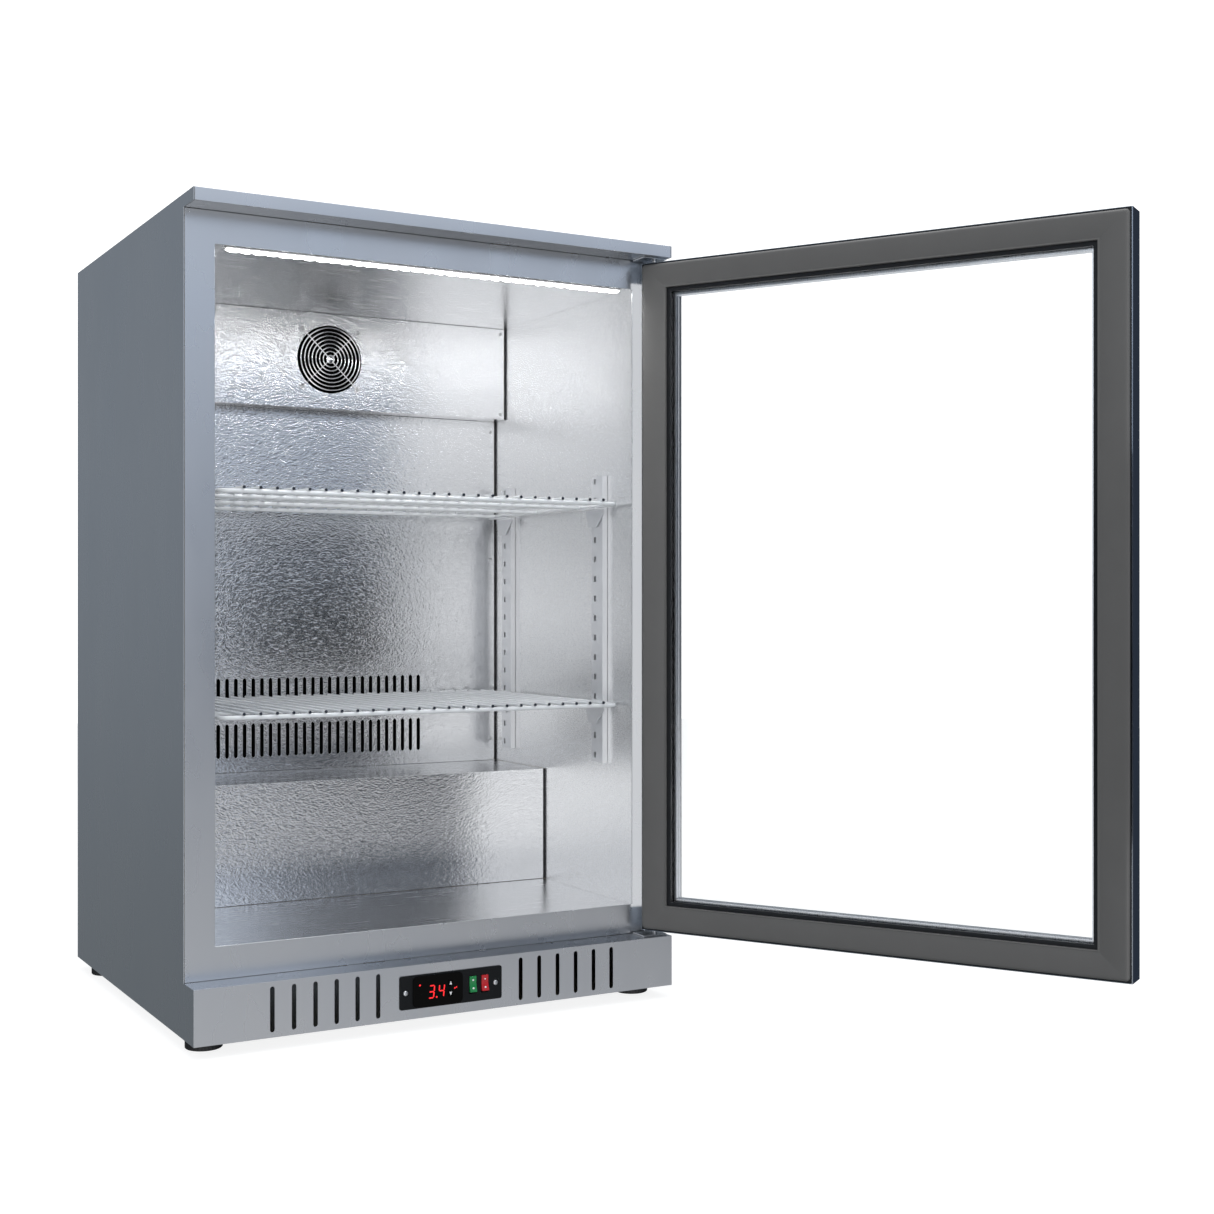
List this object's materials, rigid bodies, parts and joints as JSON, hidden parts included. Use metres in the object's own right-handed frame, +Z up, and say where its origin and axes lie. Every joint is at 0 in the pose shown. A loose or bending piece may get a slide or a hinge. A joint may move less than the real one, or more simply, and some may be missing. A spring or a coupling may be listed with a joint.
{
  "type": "undercounter refrigerator",
  "caption": "Undercounter back-bar refrigerator: steel cabinet with a hinged glass door, wire shelves on clips, a fan-cooled lined cavity, a slotted plinth with controls and levelling feet.",
  "frame": {"origin": "centre of the base pan's underside; the feet reach 14 mm below it", "axes": "+X to the right seen from the front, +Y to the back, +Z up"},
  "size_m": [0.8634, 1.0152, 0.9],
  "materials": {
    "brushed_steel": "satin, fine vertical grain",
    "galvanised_steel": "dull zinc-coated sheet",
    "stucco_aluminium": "stucco-embossed bright sheet",
    "foam_insulation": "poured polyurethane foam",
    "bright_wire": "bright-plated wire and pins",
    "coated_wire": "white epoxy-coated wire",
    "strip_steel": "folded and punched strip, light coating",
    "fin_aluminium": "thin fins",
    "spacer_aluminium": "drawn spacer bar",
    "black_plastic": "moulded",
    "black_paint": "black enamel",
    "foot_plastic": "moulded",
    "gloss_black": "polished window",
    "grey_gasket": "soft extruded profile",
    "door_glass": "clear double glazing",
    "key_plastic": "moulded",
    "green_plastic": "moulded",
    "red_plastic": "moulded",
    "led_channel_white": "white",
    "led_lens": "opal strip over white light-emitting diodes"
  },
  "bodies": {
    "cabinet": {"back_panel": "galvanised_steel", "base_pan": "galvanised_steel", "cable_gland": "black_plastic", "compressor": "black_paint", "compressor_hump": "stucco_aluminium", "condenser_coil": "fin_aluminium", "condenser_fan_motor": "black_plastic", "control_bezel": "black_plastic", "evaporator_coil": "fin_aluminium", "evaporator_cover": "stucco_aluminium", "evaporator_fan_motor": "black_plastic", "fan_guard": "bright_wire", "front_frame": "brushed_steel", "hinge_bottom": "bright_wire", "hinge_top": "bright_wire", "insulation": "foam_insulation", "led_channel": "led_channel_white", "led_diffuser": "led_lens", "liner_back": "stucco_aluminium", "liner_ceiling": "stucco_aluminium", "liner_floor": "stucco_aluminium", "liner_left": "stucco_aluminium", "liner_right": "stucco_aluminium", "plinth_panel": "brushed_steel", "rear_duct_panel": "stucco_aluminium", "rear_grille": "galvanised_steel", "shelf_clip_lower_front_left": "strip_steel", "shelf_clip_lower_front_right": "strip_steel", "shelf_clip_lower_rear_left": "strip_steel", "shelf_clip_lower_rear_right": "strip_steel", "shelf_clip_upper_front_left": "strip_steel", "shelf_clip_upper_front_right": "strip_steel", "shelf_clip_upper_rear_left": "strip_steel", "shelf_clip_upper_rear_right": "strip_steel", "shelf_standard_front_left": "strip_steel", "shelf_standard_front_right": "strip_steel", "shelf_standard_rear_left": "strip_steel", "shelf_standard_rear_right": "strip_steel", "side_panel_left": "brushed_steel", "side_panel_right": "brushed_steel", "thermostat": "gloss_black", "top_panel": "brushed_steel"},
    "door": {"door_shell": "brushed_steel", "door_core": "black_plastic", "door_gasket": "grey_gasket", "door_glass_outer": "door_glass", "door_glass_inner": "door_glass", "glass_spacer": "spacer_aluminium"},
    "upper_shelf": {"shelf_upper": "coated_wire"},
    "lower_shelf": {"shelf_lower": "coated_wire"},
    "evaporator_impeller": {"evaporator_fan_impeller": "black_plastic"},
    "condenser_impeller": {"condenser_fan_impeller": "black_plastic"},
    "green_rocker": {"rocker_green": "green_plastic"},
    "red_rocker": {"rocker_red": "red_plastic"},
    "up_key": {"key_up": "key_plastic"},
    "down_key": {"key_down": "key_plastic"},
    "front_left_foot": {"foot_front_left": "foot_plastic"},
    "front_right_foot": {"foot_front_right": "foot_plastic"},
    "rear_left_foot": {"foot_rear_left": "foot_plastic"},
    "rear_right_foot": {"foot_rear_right": "foot_plastic"}
  },
  "joints": [
    {"name": "door_hinge", "type": "hinge", "parent": "cabinet", "child": "door", "pos_m": [0.2775, -0.242, 0.4655], "axis": [0, 0, 1], "range_deg": [-119.5, 0]},
    {"name": "upper_shelf_lift", "type": "slide", "parent": "cabinet", "child": "upper_shelf", "axis": [0, 0, 1], "range_m": [0, 0.03]},
    {"name": "lower_shelf_lift", "type": "slide", "parent": "cabinet", "child": "lower_shelf", "axis": [0, 0, 1], "range_m": [0, 0.03]},
    {"name": "evaporator_fan_spin", "type": "hinge", "parent": "cabinet", "child": "evaporator_impeller", "pos_m": [0, 0.126, 0.7767], "axis": [0, 1, 0], "continuous": true},
    {"name": "condenser_fan_spin", "type": "hinge", "parent": "cabinet", "child": "condenser_impeller", "pos_m": [-0.143, 0.143, 0.105], "axis": [1, 0, 0], "continuous": true},
    {"name": "green_rocker_tilt", "type": "hinge", "parent": "cabinet", "child": "green_rocker", "pos_m": [0.0262, -0.2595, 0.0303], "axis": [1, 0, 0], "range_deg": [0, 14]},
    {"name": "red_rocker_tilt", "type": "hinge", "parent": "cabinet", "child": "red_rocker", "pos_m": [0.041, -0.2595, 0.0303], "axis": [1, 0, 0], "range_deg": [0, 14]},
    {"name": "up_key_press", "type": "slide", "parent": "cabinet", "child": "up_key", "axis": [0, 1, 0], "range_m": [0, 0.0006], "stiffness_N_per_m": 1500},
    {"name": "down_key_press", "type": "slide", "parent": "cabinet", "child": "down_key", "axis": [0, 1, 0], "range_m": [0, 0.0006], "stiffness_N_per_m": 1500},
    {"name": "front_left_foot_height", "type": "slide", "parent": "cabinet", "child": "front_left_foot", "axis": [0, 0, -1], "range_m": [0, 0.012]},
    {"name": "front_right_foot_height", "type": "slide", "parent": "cabinet", "child": "front_right_foot", "axis": [0, 0, -1], "range_m": [0, 0.012]},
    {"name": "rear_left_foot_height", "type": "slide", "parent": "cabinet", "child": "rear_left_foot", "axis": [0, 0, -1], "range_m": [0, 0.012]},
    {"name": "rear_right_foot_height", "type": "slide", "parent": "cabinet", "child": "rear_right_foot", "axis": [0, 0, -1], "range_m": [0, 0.012]}
  ]
}
